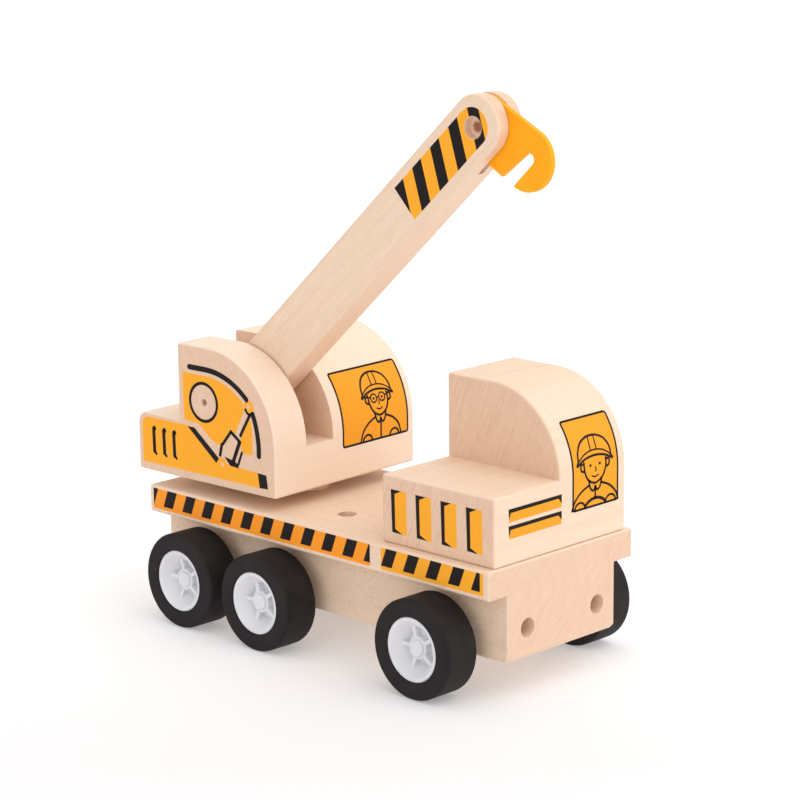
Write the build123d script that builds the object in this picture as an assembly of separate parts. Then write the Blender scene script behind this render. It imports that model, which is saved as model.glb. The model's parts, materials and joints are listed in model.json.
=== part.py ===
from build123d import *
import math
import os

# A wooden toy mobile crane: a wheeled chassis with a cab block, a turret that
# slews on a dowel, a boom that luffs in the turret's slot, and a swinging hook.
# Axes while modelling: +X forwards (cab end), +Y the truck's left, +Z up, ground at z = 0.
# All lengths are in millimetres and all angles in degrees.

os.makedirs("parts", exist_ok=True)

# ---------------------------------------------------------------- chassis
chassis_length = 165.0
deck_width = 71.0
deck_thickness = 10.0
deck_top = 46.0
beam_width = 53.0
beam_bottom = 13.0
beam_end_chamfer = 1.6
wood_edge_radius = 1.0
rear_x = -chassis_length / 2
front_x = chassis_length / 2
deck_bottom = deck_top - deck_thickness

# ---------------------------------------------------------------- peg holes
peg_hole_radius = 3.3
peg_hole_depth = 15.0
front_peg_y = 17.25
front_peg_z = 23.6
deck_peg_x = -0.8
deck_peg_y = 16.5

# ---------------------------------------------------------------- wheels
wheel_radius = 17.0
wheel_width = 13.7
wheel_outer_y = 45.45
wheel_inner_y = wheel_outer_y - wheel_width
axle_xs = {"rear": -56.8, "middle": -17.7, "front": 57.0}
axle_radius = 2.0
axle_bore_radius = axle_radius + 0.07
axle_end_chamfer = 0.3
tyre_shoulder_radius = 1.2
tyre_mouth_radius = 0.3
rim_radius = 11.0
rim_lip_width = 1.3
rim_lip_thickness = 1.2
barrel_radius = 10.0
barrel_wall = 1.2
rim_inset = 0.4
dish_depth = 5.2
web_thickness = 1.5
dish_floor_radius = 5.6
hub_boss_radius = 2.8
hub_boss_sink = 2.0
hub_boss_foot_radius = 3.8
hub_boss_foot_sink = 2.9
hub_inner_boss_radius = 4.2
hub_boss_gap = 0.5
hub_bore_end = 2.5
hub_soft_radius = 0.5
rib_count = 5
rib_thickness = 1.3
rib_root = 0.5
hub_turns = {"rear": 39.0, "middle": 36.0, "front": 39.0}

# ---------------------------------------------------------------- cab
cab_rear_x = 31.8
cab_length = 50.0
cab_width = 64.8
cab_low_height = 23.2
cab_height = 52.0
cab_slab_y = -0.6
cab_round_radius = 29.3
cab_slab_root = 5.0
cab_front_x = cab_rear_x + cab_length
cab_dowel_xs = [43.0, 70.0]
cab_dowel_depth = 10.0
cab_dowel_bore_radius = 3.05

# ---------------------------------------------------------------- turret
slew_x = -37.2
turret_yaw = 2.0
turret_gap = 5.1
turret_rear = -51.4
turret_step = -30.1
turret_front = 17.4
turret_right = -33.9
turret_left = 37.0
tail_height = 21.2
tail_round_radius = 4.0
turret_height = 48.8
turret_round_radius = 32.0
slot_right = -18.4
slot_left = -4.95
slot_floor = 16.1
slot_run_out_radius = 30.0
turret_bottom = deck_top + turret_gap

# ---------------------------------------------------------------- slew fixing
spacer_radius = 7.5
spacer_clearance = 0.2
spacer_edge_radius = 0.6
slew_dowel_radius = 5.0
slew_bore_radius = slew_dowel_radius + 0.08
slew_dowel_depth = 13.0
slew_pocket_radius = 10.5
slew_pocket_depth = 6.0
slew_washer_radius = 9.0
slew_washer_thickness = 1.5
slew_washer_chamfer = 0.25
slew_end_gap = 0.3
slew_pocket_roof = beam_bottom + slew_pocket_depth
slew_washer_top = slew_pocket_roof - slew_end_gap
slew_washer_bottom = slew_washer_top - slew_washer_thickness
screw_head_radius = 4.0
screw_head_height = 2.5
screw_head_round = 1.6
screw_shank_radius = 1.75
screw_length = 14.0
drive_arm_length = 4.4
drive_arm_width = 1.0
drive_depth = 1.4

# ---------------------------------------------------------------- boom
boom_angle = 43.0
boom_height = 20.1
boom_thickness = 12.0
boom_pivot_x = -17.2
boom_pivot_height = 29.2
boom_reach = 151.0
boom_nose = 1.0
boom_mid_y = -11.65
fork_slot_width = 2.4
fork_slot_depth = 23.3
small_dowel_radius = 3.0
pivot_bore_radius = small_dowel_radius + 0.07
pivot_far_depth = 20.0
centre_mark_radius = 0.9
centre_mark_depth = 0.6
hook_pin_radius = 3.65
hook_pin_near_sink = 3.0
hook_pin_far_sink = 0.5
pivot_z = turret_bottom + boom_pivot_height

# ---------------------------------------------------------------- hook
# The hook is a flat plate, given in the boom's own directions from the pin.
hook_thickness = 2.0
hook_edge_radius = 0.25
hook_bore_radius = hook_pin_radius + 0.08
hook_head_centre = (0.63, 0.0)
hook_head_radius = 9.85
hook_bowl_centre = (6.65, -19.0)
hook_bowl_radius = 10.35
hook_heel_centre = (-3.75, -15.6)
hook_heel_radius = 1.5
hook_notch_end = (7.6, -19.55)
hook_notch_end_radius = 1.95
hook_notch_mouth = (-6.0, -19.2)
hook_notch_mouth_radius = 2.65


past = 1.0  # how far a cut runs beyond the face it opens


def box_between(low, high):
    """A box from its lowest to its highest corner."""
    size = [b - a for a, b in zip(low, high)]
    return Pos(*low) * Box(*size, align=(Align.MIN, Align.MIN, Align.MIN))


def rod_x(radius, x_start, x_end, y, z):
    """A round rod along X."""
    length = x_end - x_start
    rod = Cylinder(radius, length, align=(Align.CENTER, Align.CENTER, Align.MIN))
    return Pos(x_start, y, z) * Rot(0, 90, 0) * rod


def rod_y(radius, y_start, y_end, x, z):
    """A round rod along Y."""
    length = y_end - y_start
    rod = Cylinder(radius, length, align=(Align.CENTER, Align.CENTER, Align.MIN))
    return Pos(x, y_end, z) * Rot(90, 0, 0) * rod


def rod_z(radius, z_start, z_end, x, y):
    """A round rod along Z."""
    length = z_end - z_start
    rod = Cylinder(radius, length, align=(Align.CENTER, Align.CENTER, Align.MIN))
    return Pos(x, y, z_start) * rod


def plate_xz(profile, y_start, y_end):
    """An XZ profile made solid between two Y positions."""
    solid = extrude(Plane.XZ * profile, amount=y_end - y_start)
    return Pos(0, y_end, 0) * solid


# ---------------------------------------------------------------- the chassis body
def near(a, b):
    """True if two lengths are the same, but for rounding."""
    return abs(a - b) < 0.01


def is_beam_end(edge):
    """True for the two edges across the beam's underside, at its ends."""
    middle = edge.center()
    return near(middle.Z, beam_bottom) and near(middle.Y, 0) and near(abs(middle.X), front_x)


def is_inner_corner(edge):
    """True for the edges where the beam meets the underside of the deck."""
    middle = edge.center()
    return near(middle.Z, deck_bottom) and near(abs(middle.Y), beam_width / 2)


def make_chassis():
    """The T-section block: a wide deck over a narrower beam, in one piece."""
    half_deck = deck_width / 2
    half_beam = beam_width / 2
    outline = Polyline(
        (-half_beam, beam_bottom),
        (half_beam, beam_bottom),
        (half_beam, deck_bottom),
        (half_deck, deck_bottom),
        (half_deck, deck_top),
        (-half_deck, deck_top),
        (-half_deck, deck_bottom),
        (-half_beam, deck_bottom),
        close=True,
    )
    block = Pos(rear_x, 0, 0) * extrude(Plane.YZ * make_face(outline), amount=chassis_length)
    beam_ends = [e for e in block.edges() if is_beam_end(e)]
    block = chamfer(beam_ends, beam_end_chamfer)
    block = fillet([e for e in block.edges() if not is_inner_corner(e)], wood_edge_radius)
    for axle_x in axle_xs.values():
        block -= rod_y(axle_bore_radius, -half_beam - past, half_beam + past, axle_x, wheel_radius)
    for y in (-front_peg_y, front_peg_y):
        block -= rod_x(peg_hole_radius, front_x - peg_hole_depth, front_x + past, y, front_peg_z)
    for y in (-deck_peg_y, deck_peg_y):
        block -= rod_z(peg_hole_radius, deck_top - peg_hole_depth, deck_top + past, deck_peg_x, y)
    for x in cab_dowel_xs:
        block -= rod_z(cab_dowel_bore_radius, deck_bottom, deck_top + past, x, 0)
    block -= rod_z(slew_bore_radius, beam_bottom - past, deck_top + past, slew_x, 0)
    block -= rod_z(slew_pocket_radius, beam_bottom - past, slew_pocket_roof, slew_x, 0)
    return block


def soften(solid):
    """Round every edge of a block a little, as sanding does."""
    return fillet(solid.edges(), wood_edge_radius)


def round_top_front(side, radius):
    """Round the top front corner of a side view."""
    corner = side.vertices().sort_by(Axis.Y)[-2:].sort_by(Axis.X)[-1]
    return fillet(corner, radius)


# ---------------------------------------------------------------- the cab
def make_cab_block():
    """A low bonnet on the right and a tall rounded slab on the left, in one block."""
    bonnet = box_between(
        (cab_rear_x, -cab_width / 2, deck_top),
        (cab_front_x, cab_width / 2, deck_top + cab_low_height),
    )
    slab_low = deck_top + cab_slab_root
    outline = Rectangle(cab_length, cab_height - cab_slab_root, align=(Align.MIN, Align.MIN))
    side = round_top_front(Pos(cab_rear_x, slab_low) * outline, cab_round_radius)
    slab = plate_xz(side, cab_slab_y, cab_width / 2)
    slab_edges = [e for e in slab.edges() if not near(e.center().Z, slab_low)]
    block = soften(bonnet) + fillet(slab_edges, wood_edge_radius)
    for x in cab_dowel_xs:
        block -= rod_z(cab_dowel_bore_radius, deck_top - past, deck_top + cab_dowel_depth, x, 0)
    return block


def make_cab_dowels():
    """The two glued dowels that locate the cab block on the deck."""
    top = deck_top + cab_dowel_depth
    rear, front = [rod_z(small_dowel_radius, deck_bottom, top, x, 0) for x in cab_dowel_xs]
    return rear + front


# ---------------------------------------------------------------- the turret
def make_turret_block():
    """The slewing superstructure: a low tail and a tall part with a slot for the boom."""
    side = make_face(
        Polyline(
            (turret_rear, 0),
            (turret_front, 0),
            (turret_front, turret_height),
            (turret_step, turret_height),
            (turret_step, tail_height),
            (turret_rear, tail_height),
            close=True,
        )
    )
    side = round_top_front(side, turret_round_radius)
    tail_top = [v for v in side.vertices() if near(v.Y, tail_height) and near(v.X, turret_rear)]
    side = fillet(tail_top, tail_round_radius)
    block = soften(plate_xz(side, turret_right, turret_left))
    return Pos(0, 0, turret_bottom) * block - boom_slot() - turret_bores()


def boom_slot():
    """The slot between the cheeks, with its floor curving up to the tail where the cutter left it."""
    rise = tail_height - slot_floor
    run_out = math.sqrt(slot_run_out_radius**2 - (slot_run_out_radius - rise) ** 2)
    cutter_x = turret_step + run_out
    floor_z = turret_bottom + slot_floor
    over_z = turret_bottom + turret_height + past
    cutter = rod_y(slot_run_out_radius, slot_right, slot_left, cutter_x, floor_z + slot_run_out_radius)
    forward_cut = box_between(
        (cutter_x, slot_right, floor_z),
        (turret_front + past, slot_left, over_z),
    )
    rear_top_cut = box_between(
        (turret_step - past, slot_right, turret_bottom + tail_height),
        (cutter_x, slot_left, over_z),
    )
    return forward_cut + rear_top_cut + cutter


def turret_bores():
    """The blind bore for the boom's pivot dowel and the blind bore for the slewing dowel."""
    pivot_end = slot_left + pivot_far_depth
    pivot_bore = rod_y(small_dowel_radius, turret_right - past, pivot_end, boom_pivot_x, pivot_z)
    slew_bore = rod_z(slew_dowel_radius, turret_bottom - past, turret_bottom + slew_dowel_depth, 0, 0)
    return pivot_bore + slew_bore


# ---------------------------------------------------------------- the slewing joint
def make_slew_dowel():
    """The thick dowel glued into the turret, which turns in the chassis's bore."""
    dowel = rod_z(slew_dowel_radius, slew_washer_top, turret_bottom + slew_dowel_depth, 0, 0)
    return dowel - slew_screw_shank()


def slew_screw_shank():
    """The screw's shank, from the washer's lower face up into the dowel."""
    return rod_z(screw_shank_radius, slew_washer_bottom, slew_washer_top + screw_length, 0, 0)


def make_slew_washer():
    """The washer that keeps the turret from lifting out."""
    washer = rod_z(slew_washer_radius, slew_washer_bottom, slew_washer_top, 0, 0)
    washer = chamfer(washer.edges().filter_by(GeomType.CIRCLE), slew_washer_chamfer)
    return washer - slew_screw_shank()


def make_slew_screw():
    """The pan-head screw that holds the washer against the dowel's end."""
    head_face = slew_washer_bottom - screw_head_height
    head = rod_z(screw_head_radius, head_face, slew_washer_bottom, 0, 0)
    head = fillet(head.edges().sort_by(Axis.Z)[0], screw_head_round)
    return head + slew_screw_shank() - Pos(0, 0, head_face) * screw_drive()


def screw_drive():
    """A cross that stands on z = 0, for the recess in the screw's head."""
    align = (Align.CENTER, Align.CENTER, Align.MIN)
    along_x = Box(drive_arm_length, drive_arm_width, drive_depth, align=align)
    along_y = Box(drive_arm_width, drive_arm_length, drive_depth, align=align)
    return along_x + along_y


def make_turret_spacer():
    """The wooden disc on the deck that the turret turns on."""
    top = turret_bottom - spacer_clearance
    disc = rod_z(spacer_radius, deck_top, top, 0, 0)
    disc = fillet(disc.edges().filter_by(GeomType.CIRCLE), spacer_edge_radius)
    return disc - rod_z(slew_bore_radius, deck_top - past, top + past, 0, 0)


# ---------------------------------------------------------------- the boom and its hook
def make_boom():
    """The boom bar with round ends, a fork at its nose, and a pivot bore."""
    half = boom_height / 2
    nose_x = boom_reach + boom_nose
    straight = Pos(nose_x / 2, 0) * Rectangle(nose_x, boom_height)
    side = straight + Circle(half) + Pos(nose_x, 0) * Circle(half)
    bar = soften(plate_xz(side, -boom_thickness / 2, boom_thickness / 2))
    bar -= rod_y(pivot_bore_radius, -boom_thickness, boom_thickness, 0, 0)
    bar -= rod_y(hook_pin_radius, -boom_thickness, boom_thickness, boom_reach, 0)
    tip_x = nose_x + half
    fork = box_between(
        (tip_x - fork_slot_depth, -fork_slot_width / 2, -half - past),
        (tip_x + past, fork_slot_width / 2, half + past),
    )
    return bar - fork


def make_boom_pivot_dowel():
    """The dowel through the near cheek and the boom, blind in the far cheek, with a small centre mark."""
    pivot_end = slot_left + pivot_far_depth
    mark_end = turret_right + centre_mark_depth
    dowel = rod_y(small_dowel_radius, turret_right, pivot_end, boom_pivot_x, pivot_z)
    mark = rod_y(centre_mark_radius, turret_right - past, mark_end, boom_pivot_x, pivot_z)
    return dowel - mark


def make_hook_pin():
    """The short dowel that the hook swings on, sunk below the boom's sides."""
    start = -boom_thickness / 2 + hook_pin_near_sink
    end = boom_thickness / 2 - hook_pin_far_sink
    return rod_y(hook_pin_radius, start, end, boom_reach, 0)


def make_hook():
    """The flat hook: a round head, a tapering shank and a round bowl with a slanting notch."""
    head = Pos(*hook_head_centre) * Circle(hook_head_radius)
    bowl = Pos(*hook_bowl_centre) * Circle(hook_bowl_radius)
    heel = Pos(*hook_heel_centre) * Circle(hook_heel_radius)
    plate = make_hull(head.edges() + bowl.edges() + heel.edges())
    notch_end = Pos(*hook_notch_end) * Circle(hook_notch_end_radius)
    notch_mouth = Pos(*hook_notch_mouth) * Circle(hook_notch_mouth_radius)
    notch = make_hull(notch_end.edges() + notch_mouth.edges())
    profile = plate - notch - Circle(hook_bore_radius)
    hook = plate_xz(profile, -hook_thickness / 2, hook_thickness / 2)
    hook = fillet(hook.faces().filter_by(Axis.Y).edges(), hook_edge_radius)
    return Pos(boom_reach, 0, 0) * hook


# ---------------------------------------------------------------- wheels
# A wheel is modelled about Z: z = 0 is its inner face and z = wheel_width its outer face.
def make_tyre():
    """A solid rubber tyre with soft shoulders and a step that takes the rim's lip."""
    tyre = Cylinder(wheel_radius, wheel_width, align=(Align.CENTER, Align.CENTER, Align.MIN))
    tyre = fillet(tyre.edges().filter_by(GeomType.CIRCLE), tyre_shoulder_radius)
    tyre -= rod_z(barrel_radius, -past, wheel_width + past, 0, 0)
    tyre -= rod_z(rim_radius, wheel_width - rim_inset - rim_lip_thickness, wheel_width + past, 0, 0)
    circles = tyre.edges().filter_by(GeomType.CIRCLE)
    mouth = [e for e in circles if near(e.radius, rim_radius) and near(e.center().Z, wheel_width)]
    return fillet(mouth, tyre_mouth_radius)


def make_hub(turn):
    """A dished plastic hub with a stepped boss, five short ribs and a blind bore for the axle."""
    face_z = wheel_width - rim_inset
    floor_z = face_z - dish_depth
    boss_top = face_z - hub_boss_sink
    foot_top = face_z - hub_boss_foot_sink
    inner_end = -(wheel_inner_y - beam_width / 2 - hub_boss_gap)
    wall = barrel_radius - barrel_wall
    mouth = rim_radius - rim_lip_width
    profile = Polyline(
        (0, inner_end),
        (hub_inner_boss_radius, inner_end),
        (hub_inner_boss_radius, floor_z - web_thickness),
        (dish_floor_radius, floor_z - web_thickness),
        (wall, foot_top - web_thickness),
        (wall, rim_inset),
        (barrel_radius, rim_inset),
        (barrel_radius, face_z - rim_lip_thickness),
        (rim_radius, face_z - rim_lip_thickness),
        (rim_radius, face_z),
        (mouth, face_z),
        (dish_floor_radius, floor_z),
        (hub_boss_foot_radius, floor_z),
        (hub_boss_foot_radius, foot_top),
        (hub_boss_radius, foot_top),
        (hub_boss_radius, boss_top),
        (0, boss_top),
        close=True,
    )
    hub = revolve(Plane.XZ * make_face(profile), Axis.Z)
    circles = hub.edges().filter_by(GeomType.CIRCLE)
    outer_edges = [e for e in circles if near(e.center().Z, boss_top) or near(e.center().Z, face_z)]
    hub = fillet(outer_edges, hub_soft_radius)
    for index in range(rib_count):
        hub += Rot(0, 0, turn + index * 360 / rib_count) * hub_rib(mouth, face_z)
    return hub - rod_z(axle_radius, inner_end - past, boss_top - hub_bore_end, 0, 0)


def hub_rib(mouth, face_z):
    """One rib, level with the boss's foot, from the boss out to where the dish rises to meet it."""
    inside = hub_boss_foot_radius - rib_root
    slope = (mouth - dish_floor_radius) / dish_depth
    floor_z = face_z - dish_depth
    top_z = face_z - hub_boss_foot_sink
    outside = mouth - slope * hub_boss_foot_sink + rib_root
    side = make_face(
        Polyline(
            (inside, floor_z - rib_root),
            (dish_floor_radius, floor_z - rib_root),
            (outside, top_z),
            (inside, top_z),
            close=True,
        )
    )
    return plate_xz(side, -rib_thickness / 2, rib_thickness / 2)


def wheel_place(axle_x, side):
    """Stand a wheel on its axle: side is -1 on the truck's right and +1 on its left."""
    return Pos(axle_x, side * wheel_inner_y, wheel_radius) * Rot(-side * 90, 0, 0)


def make_axle(axle_x):
    """A steel axle that runs in the beam, with both ends blind in the hubs."""
    end = wheel_outer_y - rim_inset - hub_boss_sink - hub_bore_end
    axle = rod_y(axle_radius, -end, end, axle_x, wheel_radius)
    return chamfer(axle.edges().filter_by(GeomType.CIRCLE), axle_end_chamfer)


# ---------------------------------------------------------------- assembly
def build_parts():
    """Every piece in its place, by name, with the chassis's middle at x = 0."""
    turret_place = Pos(slew_x, 0, 0) * Rot(0, 0, turret_yaw)
    boom_place = turret_place * Pos(boom_pivot_x, boom_mid_y, pivot_z) * Rot(0, -boom_angle, 0)
    parts = {
        "chassis": make_chassis(),
        "cab_block": make_cab_block(),
        "cab_dowels": make_cab_dowels(),
        "turret_spacer": Pos(slew_x, 0, 0) * make_turret_spacer(),
        "turret_block": turret_place * make_turret_block(),
        "slew_dowel": turret_place * make_slew_dowel(),
        "slew_washer": turret_place * make_slew_washer(),
        "slew_screw": turret_place * make_slew_screw(),
        "boom_pivot_dowel": turret_place * make_boom_pivot_dowel(),
        "boom": boom_place * make_boom(),
        "hook_pin": boom_place * make_hook_pin(),
        "hook": boom_place * make_hook(),
    }
    for row, axle_x in axle_xs.items():
        parts[row + "_axle"] = make_axle(axle_x)
        for side, side_name in ((-1, "right"), (1, "left")):
            place = wheel_place(axle_x, side)
            parts[f"{row}_{side_name}_tyre"] = place * make_tyre()
            parts[f"{row}_{side_name}_hub"] = place * make_hub(side * hub_turns[row])
    return parts


def main():
    """Write every piece with the origin on the ground under the middle of the whole crane's box."""
    parts = build_parts()
    low = min(p.bounding_box().min.X for p in parts.values())
    high = max(p.bounding_box().max.X for p in parts.values())
    shift = Pos(-(low + high) / 2, 0, 0)
    for name, piece in parts.items():
        export_step(shift * piece, f"parts/{name}.step")
    print("chassis middle x in the row frame:", round(-(low + high) / 2, 4))


main()
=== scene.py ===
import json
import math

import bmesh
import bpy
from mathutils import Matrix, Vector
from mathutils.geometry import tessellate_polygon


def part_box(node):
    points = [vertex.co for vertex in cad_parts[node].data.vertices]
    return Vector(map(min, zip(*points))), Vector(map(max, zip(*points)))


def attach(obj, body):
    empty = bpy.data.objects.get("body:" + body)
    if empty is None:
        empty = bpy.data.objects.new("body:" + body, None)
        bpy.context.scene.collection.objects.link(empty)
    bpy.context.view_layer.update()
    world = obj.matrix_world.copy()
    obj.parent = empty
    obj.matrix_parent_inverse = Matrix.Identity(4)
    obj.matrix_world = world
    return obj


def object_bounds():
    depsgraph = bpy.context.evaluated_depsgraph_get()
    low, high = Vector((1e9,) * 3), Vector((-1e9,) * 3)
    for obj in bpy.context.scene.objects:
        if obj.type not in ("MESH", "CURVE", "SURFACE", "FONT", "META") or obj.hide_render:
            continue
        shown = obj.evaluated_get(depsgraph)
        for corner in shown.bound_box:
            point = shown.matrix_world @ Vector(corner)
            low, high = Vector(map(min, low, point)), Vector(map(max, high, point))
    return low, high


# A wooden toy mobile crane. The CAD model gives every solid; this script gives the wood, rubber, plastic
# and metal their surfaces, and lays the printed ink on the blocks as thin pieces of its own.
# Drawings are in millimetres on a face: a runs along it, b runs up it and h stands off it.

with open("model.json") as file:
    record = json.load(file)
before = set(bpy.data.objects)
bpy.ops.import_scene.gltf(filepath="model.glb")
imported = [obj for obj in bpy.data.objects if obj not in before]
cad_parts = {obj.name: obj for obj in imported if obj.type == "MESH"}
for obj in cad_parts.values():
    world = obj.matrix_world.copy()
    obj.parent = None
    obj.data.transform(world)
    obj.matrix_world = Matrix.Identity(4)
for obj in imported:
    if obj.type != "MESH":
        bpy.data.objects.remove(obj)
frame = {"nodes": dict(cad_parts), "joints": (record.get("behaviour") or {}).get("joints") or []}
cad_low, cad_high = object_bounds()
nodes = frame["nodes"]
joints = {j["name"]: j for j in frame["joints"]}
MM = 0.001

# ---------------------------------------------------------------- directions and places, from the frame
UP = Vector((0, 0, 1))
FORWARD = Vector((1, 0, 0))
LEFT = Vector((0, 1, 0))
slew = Vector(joints["turret_slew"]["pos_m"])
pivot = Vector(joints["boom_luff"]["pos_m"])
pin = Vector(joints["hook_swing"]["pos_m"])
turret_left = -Vector(joints["boom_luff"]["axis"]).normalized()
turret_forward = turret_left.cross(UP).normalized()
boom_along = (pin - pivot).normalized()
boom_up = turret_left.cross(-boom_along).normalized()


def reach(node, origin, direction):
    """The least and greatest distance of a CAD node from a point, along a direction, in mm."""
    distances = [(v.co - origin).dot(direction) / MM for v in nodes[node].data.vertices]
    return min(distances), max(distances)


# ---------------------------------------------------------------- printed patterns, in mm
# how far a print goes into its block, and how far each ink stands off it
INK_SINK = 0.02
YELLOW_TOP = 0.03
BLACK_TOP = 0.05

# the striped edge of the deck: distances along it are from the chassis's middle, depths from its top
STRIPE_PITCH = 10.1
STRIPE_WIDTH = 4.95
STRIPE_LEAN = 2.45
REAR_STRIP = {"start": -80.3, "end": 28.95, "bar_end": 28.95, "first_bar": -82.7, "bars": 12}
FRONT_STRIP = {"start": 34.1, "end": 79.8, "bar_end": 78.4, "first_bar": 36.55, "bars": 5}
STRIP_DEPTH = (1.0, 8.4)
BAR_DEPTH = (1.0, 7.2)
STRIP_CORNER = 0.3

# the hazard panel on the boom's sides, from the boom's pivot
PANEL_START = 110.8
PANEL_TIP = 150.9
PANEL_RADIUS = 6.45
PANEL_MIDDLE = 0.25
PANEL_PITCH = 10.7
PANEL_BAR = 5.05
PANEL_LEAN = 6.35
PANEL_BARS = 5
PANEL_FIRST_BAR = 110.9
PIN_BORE = 3.75

# the louvres on the cab's side, from its back, and the tops of the strips on its front
LOUVRE_COUNT = 4
LOUVRE_PITCH = 11.2
LOUVRE_FIRST = 4.2
BONNET_STRIP_TOPS = (18.6, 13.0)

# the windows
WINDOW_CORNER = 0.8
WINDOW_FRAME = 0.78

# the turret's side: its prints are measured from this far above its underside
TURRET_PRINT_RISE = 0.5
ROOF_CENTRE = (-16.0, 10.3)
ROOF_RADIUS = 30.2
ROOF_GAP = 2.3
RING_RADIUS = 6.75
RING_WIDTH = 1.15
BODY_HOLE = 6.35
LUG_CENTRE = (-8.5, 7.9)
LUG_RADIUS = 2.3
LUG_HOLE = 0.85
TAIL_LOUVRES = (-43.3, -38.1, -32.9)

# the rounded fronts
TURRET_FRONT_RADIUS = 32.0
CAB_FRONT_RADIUS = 29.3


# ---------------------------------------------------------------- faces to print on
def flat_face(origin, along, up, out):
    """A flat face: a function from (a, b, h) in mm to a point in metres."""
    return lambda a, b, h: origin + (along * a + up * b + out * h) * MM


def rounded_front(origin, across, forward, front, straight, radius):
    """A front that is upright to a height and then bends back. b follows its surface from the bottom."""

    def place(a, b, h):
        if b <= straight:
            out, rise = front + h, b
        else:
            turn = (b - straight) / radius
            out = front - radius + (radius + h) * math.cos(turn)
            rise = straight + (radius + h) * math.sin(turn)
        return origin + (across * a + forward * out + UP * rise) * MM

    return place


chassis_low, chassis_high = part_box("chassis")
chassis_middle = (chassis_low + chassis_high) / 2
deck_top = chassis_high.z
cab_low, cab_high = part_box("cab_block")
turret_front = reach("turret_block", slew, turret_forward)[1]
turret_right_side, turret_left_side = reach("turret_block", slew, turret_left)
turret_height = reach("turret_block", slew, UP)[1]
boom_right_side, boom_left_side = reach("boom", pivot, turret_left)


def both_sides(origin, along, up, left, right_side, left_side):
    """The faces on the right and the left of a block, with their names."""
    return (
        ("right", flat_face(origin + left * right_side * MM, along, up, -left)),
        ("left", flat_face(origin + left * left_side * MM, along, up, left)),
    )


deck_origin = Vector((chassis_middle.x, 0, deck_top))
cab_origin = Vector((cab_low.x, 0, deck_top))
deck_sides = both_sides(deck_origin, FORWARD, UP, LEFT, chassis_low.y / MM, chassis_high.y / MM)
cab_sides = both_sides(cab_origin, FORWARD, UP, LEFT, cab_low.y / MM, cab_high.y / MM)
turret_foot = slew + UP * TURRET_PRINT_RISE * MM
turret_sides = both_sides(turret_foot, turret_forward, UP, turret_left, turret_right_side, turret_left_side)
boom_sides = both_sides(pivot, boom_along, boom_up, turret_left, boom_right_side, boom_left_side)
cab_length = (cab_high.x - cab_low.x) / MM
cab_height = (cab_high.z - deck_top) / MM
cab_front = rounded_front(
    cab_origin, LEFT, FORWARD, cab_length, cab_height - CAB_FRONT_RADIUS, CAB_FRONT_RADIUS
)
turret_straight = turret_height - TURRET_PRINT_RISE - TURRET_FRONT_RADIUS
turret_front_face = rounded_front(
    turret_foot, turret_left, turret_forward, turret_front, turret_straight, TURRET_FRONT_RADIUS
)


# ---------------------------------------------------------------- outlines
def arc(centre, radius, start, end, steps=12):
    """Points along an arc, with its angles in degrees."""
    turns = [math.radians(start + (end - start) * i / steps) for i in range(steps + 1)]
    return [(centre[0] + radius * math.cos(t), centre[1] + radius * math.sin(t)) for t in turns]


def circle(centre, radius, steps=48):
    """Points round a circle, without the closing one."""
    return arc(centre, radius, 0, 360, steps)[:-1]


def between(a, b, c, d, t):
    """A Catmull-Rom spline's value a share t of the way from b to c."""
    return 0.5 * (2 * b + (c - a) * t + (2 * a - 5 * b + 4 * c - d) * t**2 + (3 * b - a - 3 * c + d) * t**3)


def curve(points, steps=6):
    """A smooth line through a few points."""
    ends = [points[0]] + list(points) + [points[-1]]
    line = []
    for quad in zip(ends, ends[1:], ends[2:], ends[3:]):
        for i in range(steps):
            line.append(tuple(between(*values, i / steps) for values in zip(*quad)))
    return line + [tuple(points[-1])]


def rounded_box(low, high, radius):
    """A rectangle with round corners."""
    corners = ((high[0], high[1], 0), (low[0], high[1], 90), (low[0], low[1], 180), (high[0], low[1], 270))
    points = []
    for x, y, start in corners:
        centre = (
            x - radius if x == high[0] else x + radius,
            y - radius if y == high[1] else y + radius,
        )
        points += arc(centre, radius, start, start + 90, 5)
    return points


def mirrored(points):
    """The same line on the other side of a = 0."""
    return [(-a, b) for a, b in points]


def moved(points, da, db):
    """The same line somewhere else on the face."""
    return [(a + da, b + db) for a, b in points]


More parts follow.
